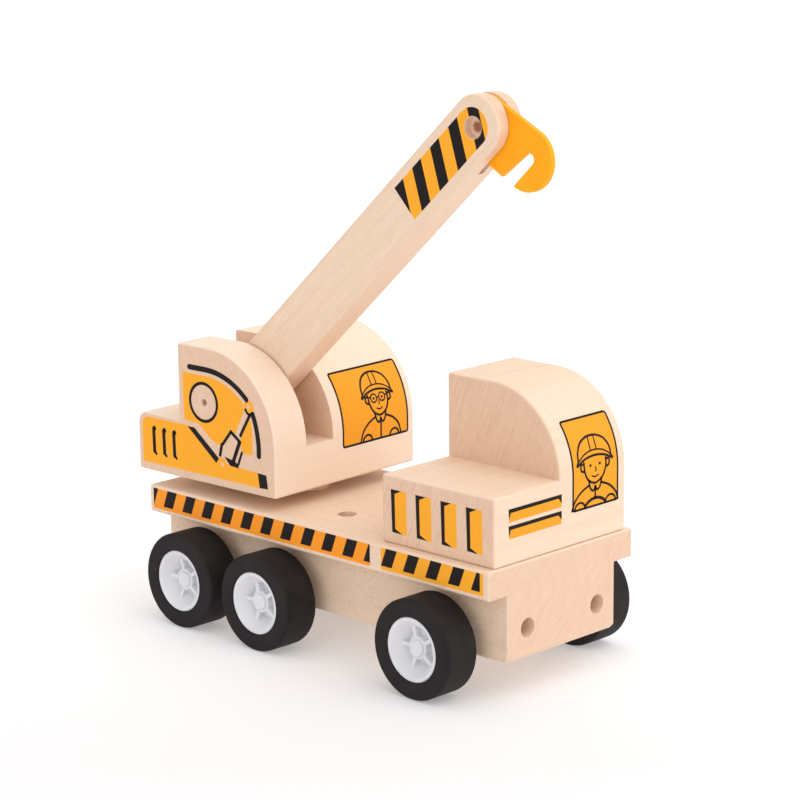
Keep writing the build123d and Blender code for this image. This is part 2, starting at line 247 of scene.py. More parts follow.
# ---------------------------------------------------------------- ink
class Ink:
    """A drawing in one ink on one face. lay() makes it a thin closed solid on that face."""

    def __init__(self):
        self.bm = bmesh.new()

    def fill(self, *loops):
        """A filled outline. Any further loops are holes in it."""
        vectors = [[Vector((a, b, 0)) for a, b in loop] for loop in loops]
        corners = [self.bm.verts.new(v) for loop in vectors for v in loop]
        for triangle in tessellate_polygon(vectors):
            self.bm.faces.new([corners[i] for i in triangle])

    def line(self, points, width, closed=False):
        """A line of even width. An open one has round ends."""
        points = [Vector(p) for p in points]
        last = len(points) - 1
        pairs = []
        for i, point in enumerate(points):
            before = points[i - 1] if i > 0 or closed else point
            after = points[(i + 1) % len(points)] if i < last or closed else point
            along = (after - before).normalized()
            side = Vector((-along.y, along.x)) * width / 2
            pairs.append([self.bm.verts.new((*(point + s * side), 0)) for s in (1, -1)])
        steps = list(zip(pairs, pairs[1:]))
        if closed:
            steps.append((pairs[-1], pairs[0]))
        for (left0, right0), (left1, right1) in steps:
            self.bm.faces.new((right0, right1, left1, left0))
        if not closed:
            self._round_end(points[0], points[0] - points[1], pairs[0], width)
            self._round_end(points[-1], points[-1] - points[-2], pairs[-1][::-1], width)

    def _round_end(self, centre, out, pair, width):
        """A half disc at the end of a line, sharing the line's two end corners."""
        start = math.degrees(math.atan2(out.y, out.x))
        rim = arc(centre, width / 2, start - 90, start + 90, 8)[1:-1]
        self.bm.faces.new([pair[0]] + [self.bm.verts.new((*p, 0)) for p in rim] + [pair[1]])

    def _cut(self, point, outward, faces=None, drop_outside=False):
        """Cut faces by a straight line."""
        faces = self.bm.faces[:] if faces is None else faces
        geom = set(faces)
        for face in faces:
            geom.update(face.edges)
            geom.update(face.verts)
        bmesh.ops.bisect_plane(
            self.bm,
            geom=list(geom),
            dist=1e-5,
            plane_co=(*point, 0),
            plane_no=(*outward, 0),
            clear_outer=drop_outside,
        )

    def keep_inside(self, outline):
        """Drop what is outside a convex outline that runs anticlockwise."""
        for start, end in zip(outline, outline[1:] + outline[:1]):
            if (Vector(end) - Vector(start)).length > 1e-4:
                self._cut(start, (end[1] - start[1], start[0] - end[0]), drop_outside=True)

    def cut_disc(self, centre, radius, steps=40):
        """Drop what is inside a disc."""
        outwards = [Vector(d) for d in circle((0, 0), 1, steps)]
        middle = Vector(centre)
        for count, outward in enumerate(outwards):
            self._cut(middle + outward * radius, outward, self._within(middle, radius, outwards[:count]))
        bmesh.ops.delete(self.bm, geom=self._within(middle, radius, outwards), context="FACES")

    def _within(self, middle, radius, outwards):
        """The faces on the inner side of each of a disc's tangents."""
        return [
            face
            for face in self.bm.faces
            if all((face.calc_center_median().xy - middle).dot(d) < radius for d in outwards)
        ]

    def cut_rows(self, step=1.0):
        """Cut level rows, so that the drawing can follow a bend."""
        heights = [v.co.y for v in self.bm.verts]
        for row in range(math.ceil(min(heights) / step), math.ceil(max(heights) / step)):
            self._cut((0, row * step), (0, 1))

    def lay(self, name, place, body, material, top):
        """Make the drawing a thin closed solid on a face, and let it ride on a body."""
        self.bm.verts.index_update()
        flat = [(v.co.x, v.co.y) for v in self.bm.verts]
        count = len(flat)
        faces = [[v.index for v in f.verts] for f in self.bm.faces]
        rim = [[v.index for v in e.verts] for e in self.bm.edges if len(e.link_faces) == 1]
        points = [place(a, b, h) for h in (-INK_SINK, top) for a, b in flat]
        walls = [(i, j, j + count, i + count) for i, j in rim]
        lids = [[i + count for i in face] for face in faces]
        mesh = bpy.data.meshes.new(name)
        mesh.from_pydata(points, [], [face[::-1] for face in faces] + lids + walls)
        self.bm.free()
        solid = bmesh.new()
        solid.from_mesh(mesh)
        bmesh.ops.recalc_face_normals(solid, faces=solid.faces[:])
        solid.to_mesh(mesh)
        solid.free()
        mesh.shade_smooth()
        mesh.set_sharp_from_angle(angle=math.radians(30))
        piece = bpy.data.objects.new(name, mesh)
        bpy.context.scene.collection.objects.link(piece)
        mesh.materials.append(material)
        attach(piece, body)


# ---------------------------------------------------------------- materials
def node(tree, kind, inputs=None, **settings):
    """A shader node with its settings, and its inputs as values or links."""
    made = tree.nodes.new("ShaderNode" + kind)
    for key, value in settings.items():
        setattr(made, key, value)
    for key, value in (inputs or {}).items():
        if isinstance(value, bpy.types.NodeSocket):
            tree.links.new(value, made.inputs[key])
        else:
            made.inputs[key].default_value = value
    return made


def new_material(name):
    """An empty node material: its tree and its Principled shader, already linked to the output."""
    material = bpy.data.materials.new(name)
    material.use_nodes = True
    tree = material.node_tree
    tree.nodes.clear()
    shader = node(tree, "BsdfPrincipled")
    node(tree, "OutputMaterial", {"Surface": shader.outputs["BSDF"]})
    return material, tree, shader


def mix(tree, factor, first, second):
    """A colour mix, as its output socket."""
    made = node(tree, "Mix", data_type="RGBA")
    for key, value in ((0, factor), (6, first), (7, second)):
        if isinstance(value, bpy.types.NodeSocket):
            tree.links.new(value, made.inputs[key])
        else:
            made.inputs[key].default_value = value
    return made.outputs[2]


def math_node(tree, operation, first, second=0.0):
    """One sum on values, as its output socket."""
    made = node(tree, "Math", {0: first, 1: second}, operation=operation)
    return made.outputs[0]


def ramp(tree, value, low, high, to_low=0.0, to_high=1.0):
    """A smooth step of a value from low to high."""
    made = node(
        tree,
        "MapRange",
        {"Value": value, "From Min": low, "From Max": high, "To Min": to_low, "To Max": to_high},
        interpolation_type="SMOOTHSTEP",
    )
    return made.outputs["Result"]


def facing(tree, normal, direction):
    """How squarely a surface faces along a direction, either way: 0 to 1."""
    along = node(tree, "VectorMath", {0: normal, 1: direction}, operation="DOT_PRODUCT")
    return math_node(tree, "ABSOLUTE", along.outputs["Value"])


def wood_axes(grain, radial):
    """Wood's own directions, as a matrix's rows: along the fibres, out from the pith, and round it."""
    grain = grain.normalized()
    radial = (radial - grain * radial.dot(grain)).normalized()
    return Matrix((grain, radial, grain.cross(radial)))


def pith_through(point, grain, radial):
    """The offset for grain_space that puts the pith through a point."""
    return -(wood_axes(grain, radial) @ point) / MM


def grain_space(tree, grain, radial, offset):
    """Coordinates in mm along the wood's own directions.

    It also gives how much a surface is end grain, and how much it is cut flat to the rings.
    """
    axes = wood_axes(grain, radial)
    coordinates = node(tree, "TexCoord")
    space = node(
        tree,
        "Mapping",
        {
            "Vector": coordinates.outputs["Object"],
            "Location": offset,
            "Rotation": axes.to_euler(),
            "Scale": (1 / MM, 1 / MM, 1 / MM),
        },
    )
    normal = coordinates.outputs["Normal"]
    return space.outputs[0], facing(tree, normal, axes[0]), facing(tree, normal, axes[1])


def stretched(tree, space, scale):
    """Coordinates scaled by a different amount each way."""
    return node(tree, "VectorMath", {0: space, 1: scale}, operation="MULTIPLY").outputs[0]


def noise(tree, vector, scale=1.0, detail=2.0, roughness=0.5):
    """A noise's value, as its output socket."""
    settings = {"Vector": vector, "Scale": scale, "Detail": detail, "Roughness": roughness}
    return node(tree, "TexNoise", settings).outputs["Fac"]


def rays(tree, space):
    """Beech's rays: thin dark sheets, long out from the pith, seen as short dashes on the tangential face."""
    share = 0.5
    cells = node(tree, "TexVoronoi", {"Vector": stretched(tree, space, (0.40, 0.16, 2.8)), "Scale": 1.0})
    picked = node(tree, "SeparateColor", {"Color": cells.outputs["Color"]})
    shown = math_node(tree, "LESS_THAN", picked.outputs["Red"], share)
    near = ramp(tree, cells.outputs["Distance"], 0.14, 0.36, 1.0, 0.0)
    return math_node(tree, "MULTIPLY", shown, near)


def growth_rings(tree, space, scale):
    """The year rings round the pith: 0 in each year's early wood, up to 0.8 in its late wood."""
    rings = node(
        tree,
        "TexWave",
        {
            "Vector": stretched(tree, space, (0.10, 1, 1)),
            "Scale": scale,
            "Distortion": 5.0,
            "Detail": 3.0,
            "Detail Scale": 0.5,
        },
        wave_type="RINGS",
        rings_direction="X",
        wave_profile="SAW",
    )
    return ramp(tree, rings.outputs["Fac"], 0.45, 1.0, 0.0, 0.8)


def heart_and_shade_spot(tree, space, pores, radius):
    """A dark spot with a ragged edge round the pith: a dowel's dark heart, which on the sunk hook pin is also
    painted shade of its bore.
    """
    across = node(tree, "VectorMath", {0: stretched(tree, space, (0, 1, 1))}, operation="LENGTH")
    ragged = math_node(tree, "ADD", across.outputs["Value"], math_node(tree, "MULTIPLY", pores, radius))
    return ramp(tree, ragged, radius, 1.7 * radius, 0.95, 0.0)


# beech's colours: early and late wood, pinker patches, rays, pale flecks, end grain, and a dowel's dark
# heart, which on the hook pin is also painted shade in its sunk bore.
# Its roughness is for side grain and for end grain.
WOOD_PALE = (0.885, 0.684, 0.520, 1)
WOOD_LATE = (0.850, 0.620, 0.450, 1)
WOOD_PINK = (0.850, 0.610, 0.455, 1)
WOOD_RAY = (0.40, 0.215, 0.120, 1)
WOOD_FLECK = (0.93, 0.77, 0.625, 1)
WOOD_END = (0.80, 0.548, 0.392, 1)
WOOD_END_DARK = (0.60, 0.365, 0.235, 1)
WOOD_HEART_AND_SHADE = (0.30, 0.110, 0.040, 1)
WOOD_ROUGHNESS = (0.50, 0.66)


def wood(
    name,
    grain,
    radial,
    offset,
    dash=0.30,
    streak=0.40,
    ring_scale=0.055,
    end_rings=0.10,
    lift=(0.0, 0.0),
    heart_and_shade_radius=0.0,
):
    """Bare sanded beech with its fibres along grain and its pith the opposite way from radial.

    dash, streak and end_rings are how strongly the rays, and the streaks and rings on end grain, show.
    lift is how much paler the side grain and the end grain are. The last argument is the radius in mm of a
    dark spot round the pith: a dark heart, which on the sunk hook pin is also painted shade of its bore.
    """
    material, tree, shader = new_material(name)
    space, end_on, flat_on = grain_space(tree, grain, radial, offset)
    fibres = noise(tree, stretched(tree, space, (0.05, 1.9, 1.9)), detail=5.0, roughness=0.62)
    fine = noise(tree, stretched(tree, space, (0.16, 6.0, 6.0)), detail=2.0)
    patches = noise(tree, stretched(tree, space, (0.010, 0.05, 0.05)), detail=2.0)
    streaks = noise(tree, stretched(tree, space, (0.4, 0.10, 2.2)), detail=4.0, roughness=0.6)
    pores = noise(tree, stretched(tree, space, (0.5, 5.0, 5.0)), detail=2.0)
    end = ramp(tree, end_on, 0.72, 0.95)
    not_end = math_node(tree, "SUBTRACT", 1.0, end)
    dashes = math_node(tree, "MULTIPLY", rays(tree, space), not_end)
    dashes = math_node(tree, "MULTIPLY", dashes, ramp(tree, flat_on, 0.3, 0.9, 0.16, 1.0))
    late = growth_rings(tree, space, ring_scale)
    colour = mix(tree, math_node(tree, "MULTIPLY", late, 0.6), WOOD_PALE, WOOD_LATE)
    colour = mix(tree, ramp(tree, patches, 0.35, 0.7, 0.0, 0.35), colour, WOOD_PINK)
    colour = mix(tree, ramp(tree, fibres, 0.35, 0.75, 0.0, 0.34), colour, WOOD_END)
    colour = mix(tree, ramp(tree, fine, 0.5, 0.75, 0.0, 0.20), colour, WOOD_END_DARK)
    colour = mix(tree, ramp(tree, fine, 0.25, 0.45, 0.30, 0.0), colour, WOOD_FLECK)
    colour = mix(tree, math_node(tree, "MULTIPLY", dashes, dash), colour, WOOD_RAY)
    end_colour = mix(tree, ramp(tree, pores, 0.42, 0.72, 0.0, 0.36), WOOD_END, WOOD_END_DARK)
    end_colour = mix(tree, ramp(tree, late, 0.2, 1.0, 0.0, end_rings), end_colour, WOOD_END_DARK)
    end_colour = mix(tree, ramp(tree, streaks, 0.50, 0.72, 0.0, streak), end_colour, WOOD_END_DARK)
    end_colour = mix(tree, ramp(tree, streaks, 0.25, 0.46, 0.45, 0.0), end_colour, WOOD_PALE)
    colour = mix(tree, math_node(tree, "MULTIPLY", end, 0.85), colour, end_colour)
    colour = mix(tree, ramp(tree, end, 0.0, 1.0, *lift), colour, WOOD_FLECK)
    # a dark spot round the pith: a dowel's dark heart, and on the hook pin also painted shade in its sunk
    # bore
    if heart_and_shade_radius:
        spot = heart_and_shade_spot(tree, space, pores, heart_and_shade_radius)
        colour = mix(tree, math_node(tree, "MULTIPLY", spot, end), colour, WOOD_HEART_AND_SHADE)
    tree.links.new(colour, shader.inputs["Base Color"])
    tree.links.new(ramp(tree, end_on, 0.6, 0.95, *WOOD_ROUGHNESS), shader.inputs["Roughness"])
    height = math_node(tree, "MULTIPLY", fibres, 0.5)
    height = math_node(tree, "SUBTRACT", height, math_node(tree, "MULTIPLY", dashes, 0.5))
    height = math_node(tree, "ADD", height, math_node(tree, "MULTIPLY", pores, 0.3))
    bump = node(tree, "Bump", {"Height": height, "Strength": 0.35, "Distance": 0.05 * MM})
    tree.links.new(bump.outputs["Normal"], shader.inputs["Normal"])
    shader.inputs["Specular IOR Level"].default_value = 0.25
    return material


def ink(name, colour, deep, grain, radial):
    """Screen-printed ink on wood: nearly even, with the grain just showing through."""
    material, tree, shader = new_material(name)
    space = grain_space(tree, grain, radial, (0, 0, 0))[0]
    fibres = noise(tree, stretched(tree, space, (0.08, 2.6, 2.6)), detail=4.0, roughness=0.6)
    mottle = noise(tree, space, scale=0.9, detail=3.0)
    blended = mix(tree, ramp(tree, fibres, 0.35, 0.75, 0.0, 0.5), colour, deep)
    blended = mix(tree, ramp(tree, mottle, 0.45, 0.8, 0.0, 0.35), blended, deep)
    tree.links.new(blended, shader.inputs["Base Color"])
    tree.links.new(ramp(tree, mottle, 0.3, 0.7, 0.5, 0.62), shader.inputs["Roughness"])
    bump = node(tree, "Bump", {"Height": fibres, "Strength": 0.3, "Distance": 0.04 * MM})
    tree.links.new(bump.outputs["Normal"], shader.inputs["Normal"])
    shader.inputs["Specular IOR Level"].default_value = 0.12
    return material


def rubber():
    """Matte black solid rubber, with faint grey bloom and a few specks of dust."""
    material, tree, shader = new_material("tyre_rubber")
    space = node(tree, "TexCoord").outputs["Object"]
    bloom = noise(tree, space, scale=90.0, detail=5.0, roughness=0.65)
    fine = noise(tree, space, scale=2400.0, detail=2.0)
    dust = node(tree, "TexVoronoi", {"Vector": space, "Scale": 420.0})
    picked = node(tree, "SeparateColor", {"Color": dust.outputs["Color"]})
    speck = math_node(
        tree,
        "MULTIPLY",
        math_node(tree, "LESS_THAN", picked.outputs["Red"], 0.045),
        ramp(tree, dust.outputs["Distance"], 0.05, 0.12, 1.0, 0.0),
    )
    colour = mix(tree, ramp(tree, bloom, 0.35, 0.75), (0.015, 0.0125, 0.013, 1), (0.027, 0.0225, 0.0225, 1))
    colour = mix(tree, math_node(tree, "MULTIPLY", speck, 0.5), colour, (0.35, 0.33, 0.31, 1))
    tree.links.new(colour, shader.inputs["Base Color"])
    tree.links.new(ramp(tree, bloom, 0.3, 0.8, 0.58, 0.74), shader.inputs["Roughness"])
    bump = node(tree, "Bump", {"Height": fine, "Strength": 0.4, "Distance": 0.05 * MM})
    tree.links.new(bump.outputs["Normal"], shader.inputs["Normal"])
    shader.inputs["Specular IOR Level"].default_value = 0.16
    return material


def plastic(name, colour, deep, roughness, scatter, radius, shine):
    """Moulded plastic with a slightly uneven skin, which light enters a little way."""
    material, tree, shader = new_material(name)
    space = node(tree, "TexCoord").outputs["Object"]
    flow = noise(tree, space, scale=70.0, detail=3.0)
    skin = noise(tree, space, scale=650.0, detail=2.0)
    blended = mix(tree, ramp(tree, flow, 0.35, 0.7), colour, deep)
    tree.links.new(blended, shader.inputs["Base Color"])
    tree.links.new(ramp(tree, flow, 0.3, 0.7, roughness, roughness + 0.1), shader.inputs["Roughness"])
    bump = node(tree, "Bump", {"Height": skin, "Strength": 0.25, "Distance": 0.05 * MM})
    tree.links.new(bump.outputs["Normal"], shader.inputs["Normal"])
    shader.inputs["Specular IOR Level"].default_value = shine
    shader.inputs["Subsurface Weight"].default_value = scatter
    shader.inputs["Subsurface Radius"].default_value = radius
    shader.inputs["Subsurface Scale"].default_value = MM
    return material


def metal(name, colour, roughness, grain):
    """Bare metal with fine marks, stretched by grain."""
    material, tree, shader = new_material(name)
    space = node(tree, "TexCoord").outputs["Object"]
    marks = noise(tree, stretched(tree, space, grain), scale=900.0, detail=3.0)
    dull = tuple(0.8 * c for c in colour[:3]) + (1,)
    tree.links.new(mix(tree, ramp(tree, marks, 0.3, 0.7), colour, dull), shader.inputs["Base Color"])
    tree.links.new(ramp(tree, marks, 0.3, 0.7, roughness, roughness + 0.15), shader.inputs["Roughness"])
    bump = node(tree, "Bump", {"Height": marks, "Strength": 0.2, "Distance": 0.02 * MM})
    tree.links.new(bump.outputs["Normal"], shader.inputs["Normal"])
    shader.inputs["Metallic"].default_value = 1.0
    return material


def dress(material, *names):
    """Give CAD nodes a material."""
    for name in names:
        slots = nodes[name].data.materials
        slots.clear()
        slots.append(material)


YELLOW = (0.99, 0.425, 0.028, 1)
YELLOW_DEEP = (0.94, 0.380, 0.024, 1)
WINDOW = (0.91, 0.365, 0.022, 1)
WINDOW_DEEP = (0.87, 0.330, 0.020, 1)
ORANGE = (0.99, 0.335, 0.024, 1)
ORANGE_DEEP = (0.94, 0.290, 0.020, 1)
BLACK = (0.0125, 0.0085, 0.0095, 1)
BLACK_DEEP = (0.020, 0.014, 0.013, 1)

# each wood's offset only picks a different piece of the pattern, except where the pith has a place
chassis_wood = wood("beech_chassis", FORWARD, Vector((0, 0.75, 0.66)), (3, 11, -47), dash=0.42)
cab_wood = wood("beech_cab", LEFT, Vector((0.36, 0, 1)), (19, 38, 8), dash=0.22, streak=0.7)
turret_wood = wood(
    "beech_turret", turret_left, Vector((-0.45, 0, 1)), (-33, 52, 21), streak=0.5, lift=(0.5, 0.0)
)
boom_wood = wood("beech_boom", boom_along, turret_left, (7, 44, 13), dash=0.2)
spacer_wood = wood("beech_spacer", LEFT, UP, (31, 60, -9))
dowel_wood = wood(
    "beech_dowel",
    turret_left,
    UP,
    pith_through(pivot + turret_forward * 0.4 * MM, turret_left, UP),
    ring_scale=0.26,
    end_rings=1.0,
    lift=(0.0, 0.2),
    heart_and_shade_radius=1.4,
)
# the hook pin's dark spot, set off its middle, is partly its darker end grain and partly painted shade of the
# sunk bore it sits in
pin_wood = wood(
    "beech_hook_pin",
    turret_left,
    UP,
    pith_through(pin - FORWARD * 0.5 * MM, turret_left, UP),
    ring_scale=0.26,
    end_rings=0.6,
    lift=(0.0, 0.5),
    heart_and_shade_radius=2.2,
)
upright_dowel_wood = wood("beech_upright_dowel", UP, LEFT, (-5, 24, 16), ring_scale=0.16)
tyre_rubber = rubber()
hub_plastic = plastic(
    "hub_plastic",
    colour=(0.77, 0.765, 0.80, 1),
    deep=(0.72, 0.715, 0.755, 1),
    roughness=0.34,
    scatter=0.25,
    radius=(1.4, 1.4, 1.4),
    shine=0.5,
)
hook_plastic = plastic(
    "hook_plastic",
    colour=(0.99, 0.430, 0.006, 1),
    deep=(0.98, 0.385, 0.004, 1),
    roughness=0.42,
    scatter=0.3,
    radius=(2.0, 1.0, 0.2),
    shine=0.2,
)
zinc = metal("zinc", (0.62, 0.63, 0.64, 1), 0.35, (1, 1, 1))
steel = metal("steel", (0.56, 0.56, 0.57, 1), 0.28, (1, 0.05, 1))

dress(chassis_wood, "chassis")
dress(cab_wood, "cab_block")
dress(turret_wood, "turret_block")
dress(boom_wood, "boom")
dress(spacer_wood, "turret_spacer")
dress(dowel_wood, "boom_pivot_dowel")
dress(pin_wood, "hook_pin")
dress(upright_dowel_wood, "cab_dowels", "slew_dowel")
dress(hook_plastic, "hook")
dress(zinc, "slew_washer", "slew_screw")
for row in ("rear", "middle", "front"):
    dress(steel, row + "_axle")
    for side in ("left", "right"):
        dress(hub_plastic, f"{row}_{side}_hub")
        dress(tyre_rubber, f"{row}_{side}_tyre")

deck_yellow = ink("ink_deck_yellow", YELLOW, YELLOW_DEEP, FORWARD, UP)
deck_orange = ink("ink_deck_orange", ORANGE, ORANGE_DEEP, FORWARD, UP)
deck_black = ink("ink_deck_black", BLACK, BLACK_DEEP, FORWARD, UP)
cab_yellow = ink("ink_cab_yellow", YELLOW, YELLOW_DEEP, LEFT, UP)
window_yellow = ink("ink_window_yellow", WINDOW, WINDOW_DEEP, LEFT, UP)
block_black = ink("ink_block_black", BLACK, BLACK_DEEP, LEFT, UP)
boom_yellow = ink("ink_boom_yellow", YELLOW, YELLOW_DEEP, boom_along, turret_left)
boom_black = ink("ink_boom_black", BLACK, BLACK_DEEP, boom_along, turret_left)


# ---------------------------------------------------------------- the deck's striped edges
def slanting_bars(first, count, pitch, width, lean, low, high):
    """Bars that lean, as four-cornered outlines. first is the left end of the first bar's top."""
    bars = []
    for start in (first + i * pitch for i in range(count)):
        bars.append([(start - lean, low), (start + width - lean, low), (start + width, high), (start, high)])
    return bars


def print_deck_strip(name, side, face, strip, yellow):
    """One strip along the deck's edge: a coloured ground with leaning black bars."""
    ground = Ink()
    low, high = -STRIP_DEPTH[1], -STRIP_DEPTH[0]
    ground.fill(rounded_box((strip["start"], low), (strip["end"], high), STRIP_CORNER))
    ground.lay(f"print_deck_{name}_ground_{side}", face, "chassis", yellow, YELLOW_TOP)
    bars = Ink()
    low, high = -BAR_DEPTH[1], -BAR_DEPTH[0]
    first, count = strip["first_bar"], strip["bars"]
    for bar in slanting_bars(first, count, STRIPE_PITCH, STRIPE_WIDTH, STRIPE_LEAN, low, high):
        bars.fill(bar)
    left, right = strip["start"], strip["bar_end"]
    below = -STRIP_DEPTH[1]
    bars.keep_inside([(left, below), (right, below), (right, 0), (left, 0)])
    bars.lay(f"print_deck_{name}_bars_{side}", face, "chassis", deck_black, BLACK_TOP)


for side, face in deck_sides:
    print_deck_strip("rear", side, face, REAR_STRIP, deck_orange)
    print_deck_strip("front", side, face, FRONT_STRIP, deck_yellow)


# ---------------------------------------------------------------- the boom's hazard panels
def print_boom_panel(side, face):
    """A hazard panel with a round end about the hook's pin, open at the pin's bore."""
    low = PANEL_MIDDLE - PANEL_RADIUS
    high = PANEL_MIDDLE + PANEL_RADIUS
    outline = [(PANEL_START, high), (PANEL_START, low)]
    outline += arc((PANEL_TIP, PANEL_MIDDLE), PANEL_RADIUS, -90, 90, 24)
    pin_place = ((pin - pivot).length / MM, 0)
    ground = Ink()
    ground.fill(outline)
    ground.cut_disc(pin_place, PIN_BORE)
    ground.lay(f"print_boom_ground_{side}", face, "boom", boom_yellow, YELLOW_TOP)
    bars = Ink()
    for bar in slanting_bars(PANEL_FIRST_BAR, PANEL_BARS, PANEL_PITCH, PANEL_BAR, PANEL_LEAN, low, high):
        bars.fill(bar)
    bars.keep_inside(outline)
    bars.cut_disc(pin_place, PIN_BORE)
    bars.lay(f"print_boom_bars_{side}", face, "boom", boom_black, BLACK_TOP)


for side, face in boom_sides:
    print_boom_panel(side, face)


# ---------------------------------------------------------------- the cab's louvres and front strips
def print_louvres(side, face):
    """Four upright louvres, each a black hook with a yellow opening."""
    hook = [(0, 18.6), (0.5, 4.1), (5.2, 4.0), (1.9, 5.4), (1.7, 17.2), (4.6, 18.6)]
    opening = [(1.7, 17.2), (1.9, 5.4), (5.2, 4.0), (7.1, 3.9), (6.9, 18.7), (4.6, 18.6)]
    hooks = Ink()
    openings = Ink()
    for start in (LOUVRE_FIRST + i * LOUVRE_PITCH for i in range(LOUVRE_COUNT)):
        hooks.fill(moved(hook, start, 0))
        openings.fill(moved(opening, start, 0))
    hooks.lay(f"print_louvre_hooks_{side}", face, "chassis", block_black, BLACK_TOP)
    openings.lay(f"print_louvre_openings_{side}", face, "chassis", cab_yellow, YELLOW_TOP)


for side, face in cab_sides:
    print_louvres(side, face)


def print_cab_strips():
    """Two level strips on the bonnet's front, each with a black upper edge that turns down at its ends."""
    edge = [(-25.6, 0), (-25.4, -3.6), (-24.6, -1.3), (-1.5, -1.2), (0.1, -3.0), (0.1, 0)]
    fill = [(-24.6, -1.3), (-25.4, -4.3), (-0.1, -4.3), (0.1, -3.0), (-1.5, -1.2)]
    edges = Ink()
    fills = Ink()
    for top in BONNET_STRIP_TOPS:
        edges.fill(moved(edge, 0, top))
        fills.fill(moved(fill, 0, top))
    edges.lay("print_bonnet_strip_edges", cab_front, "chassis", block_black, BLACK_TOP)
    fills.lay("print_bonnet_strips", cab_front, "chassis", window_yellow, YELLOW_TOP)


print_cab_strips()


# ---------------------------------------------------------------- the drivers at their windows
def draw_driver(lines, chin, base, breadth, goggles, wheel):
    """A plain driver in a hard hat, in simple lines.

    Places are from the chin, breadth is how wide the driver is, and base is the height of the window's sill.
    """
    a, b = chin
    bold, fine, finest = 0.80, 0.55, 0.5
    glass = 0.58

    def place(points):
        return [(a + x * breadth, b + y) for x, y in points]

    def line(points, width=bold, closed=False):
        lines.line(place(points), width, closed)

    def dot(centre, radius):
        lines.fill(place(circle(centre, radius, 20)))

    sill = base - b
    jaw = [(4.9, 7.6), (4.7, 4.6), (3.2, 1.6), (0, 0)]
    dome = [(7.3, 8.2), (7.0, 11.2), (5.2, 14.2), (2.4, 15.7), (0, 16.0)]
    line(curve(jaw + mirrored(jaw)[-2::-1]))
    line(curve(dome + mirrored(dome)[-2::-1]))
    line(curve([(-7.2, 8.3), (-7.9, 6.9), (-4.6, 8.6), (0, 9.3), (4.6, 8.6), (7.9, 6.9), (7.2, 8.3)]))
    line(curve([(-7.3, 8.2), (-4.2, 10.3), (0, 11.1), (4.2, 10.3), (7.3, 8.2)]), fine)
    line(curve([(-1.4, 2.6), (0, 2.1), (1.4, 2.6)]), finest)
    line([(0, 5.4), (0.5, 4.2), (0, 4.0)], finest)
    ridge = [(1.2, 15.9), (1.3, 13.4), (1.3, 11.2)]
    shoulder = [(2.6, -0.3), (6.2, -1.9), (9.1, -4.6), (10.4, sill + 0.2)]
    ear = [(5.0, 7.2), (6.3, 6.9), (6.2, 5.2), (4.9, 4.6)]
    collar = [(2.9, 1.3), (2.2, -1.4), (0.9, -2.5), (0, -1.0)]
    # one half as it is, then the other half
    for turn in (list, mirrored):
        line(curve(turn(ridge)), fine)
        line(curve(turn(shoulder)))
        line(curve(turn(ear)))
        line(curve(turn(collar)))
        line(arc(turn([(6.9, sill)])[0], 2.3, 0, 180))
        eye = turn([(2.1, 6.2)])[0]
        dot(eye, 0.5)
        if goggles:
            line(circle((eye[0], eye[1] + 0.1), 1.5, 28), glass, closed=True)
            line(turn([(3.6, 6.6), (4.9, 7.0)]), glass)
    if goggles:
        line([(-0.6, 6.4), (0.6, 6.4)], finest)
    line([(0, -1.2), (0, sill + (2.6 if wheel else 0.2))])
    if wheel:
        line(arc((0, sill - 3.6), 6.2, 47, 133), 1.1)


def print_window(name, face, body, low, high, chin, breadth, goggles, wheel):
    """A yellow window with a dark frame and a driver, wrapped over a rounded front."""
    ground = Ink()
    ground.fill(rounded_box(low, high, WINDOW_CORNER))
    ground.cut_rows()
    ground.lay(f"print_{name}_window", face, body, window_yellow, YELLOW_TOP)
    lines = Ink()
    lines.line(rounded_box(low, high, WINDOW_CORNER), WINDOW_FRAME, closed=True)
    draw_driver(lines, chin, low[1], breadth, goggles, wheel)
    lines.cut_rows()
    lines.lay(f"print_{name}_driver", face, body, block_black, BLACK_TOP)


print_window(
    "cab",
    cab_front,
    "chassis",
    low=(5.8, 11.5),
    high=(28.3, 41.8),
    chin=(16.9, 19.2),
    breadth=1.12,
    goggles=False,
    wheel=True,
)
print_window(
    "turret",
    turret_front_face,
    "turret",
    low=(0.2, 11.4),
    high=(33.6, 38.4),
    chin=(19.6, 19.8),
    breadth=1.0,
    goggles=True,
    wheel=False,
)


# ---------------------------------------------------------------- the turret's sides
dowel_place = ((pivot - turret_foot).dot(turret_forward) / MM, (pivot - turret_foot).z / MM)


def print_turret_yellow(side, face):
    """The machine's bodywork: an upper body, a wedge beside the ram, a tail with a sill, and a lug."""
    yellow = Ink()
    upper = [(-27.6, 38.2)]
    upper += arc(ROOF_CENTRE, ROOF_RADIUS - ROOF_GAP, 90, 49, 14)
    upper += [(2.9, 28.7), (-1.6, 20.0), (-3.9, 20.2), (-8.4, 14.6), (-11.8, 15.0)]
    upper += [(-14.2, 16.2), (-19.4, 20.2), (-21.0, 20.9), (-27.2, 21.0)]
    yellow.fill(upper[::-1], circle(dowel_place, BODY_HOLE))
    yellow.fill([(0.5, 17.0), (1.9, 13.3), (6.3, 13.4), (6.7, 20.2), (6.3, 24.6), (5.5, 26.8), (1.1, 19.2)])
    lower = arc((-46.1, 16.2), 3.0, 180, 90, 6) + [(-24.2, 19.2), (-10.9, 9.0)]
    lower += arc(LUG_CENTRE, LUG_RADIUS, 150, 8, 10) + [(9.2, 7.6), (9.8, 2.4), (-49.1, 2.6)]
    yellow.fill(lower[::-1], circle(LUG_CENTRE, LUG_HOLE, 16))
    yellow.fill(circle((5.2, 30.4), 2.35, 28), circle((5.0, 30.5), LUG_HOLE, 16))
    yellow.lay(f"print_turret_body_{side}", face, "turret", cab_yellow, YELLOW_TOP)


